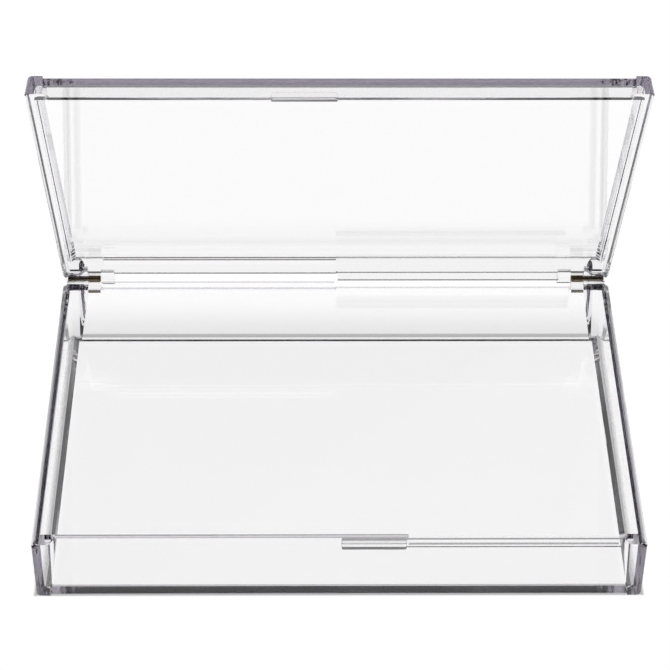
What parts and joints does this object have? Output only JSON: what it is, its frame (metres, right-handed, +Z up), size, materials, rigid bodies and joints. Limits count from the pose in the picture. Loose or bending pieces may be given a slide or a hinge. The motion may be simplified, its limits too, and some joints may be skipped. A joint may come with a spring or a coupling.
{
  "type": "pick holder",
  "caption": "Shallow clear hinged case for guitar picks, with thick end cheeks, stepped rear rims and side-by-side thumb tabs, shown half open.",
  "frame": {"origin": "middle of the underside, on the surface that the case rests on", "axes": "+X along the hinge to the user's right, +Y from the thumb tabs to the hinge, +Z up"},
  "size_m": [0.12, 0.0921, 0.0923],
  "materials": {
    "clear_polystyrene": "polished, water clear, with a very faint cool tint",
    "pin_metal": "drawn wire, dulled"
  },
  "bodies": {
    "tray": {"base_tray": "clear_polystyrene", "hinge_pin_left": "pin_metal", "hinge_pin_right": "pin_metal"},
    "lid": {"lid": "clear_polystyrene"}
  },
  "joints": [
    {"name": "lid_hinge", "type": "hinge", "parent": "tray", "child": "lid", "pos_m": [0, 0.0444, 0.0147], "axis": [-1, 0, 0], "range_deg": [-58.7, 121.3]}
  ]
}
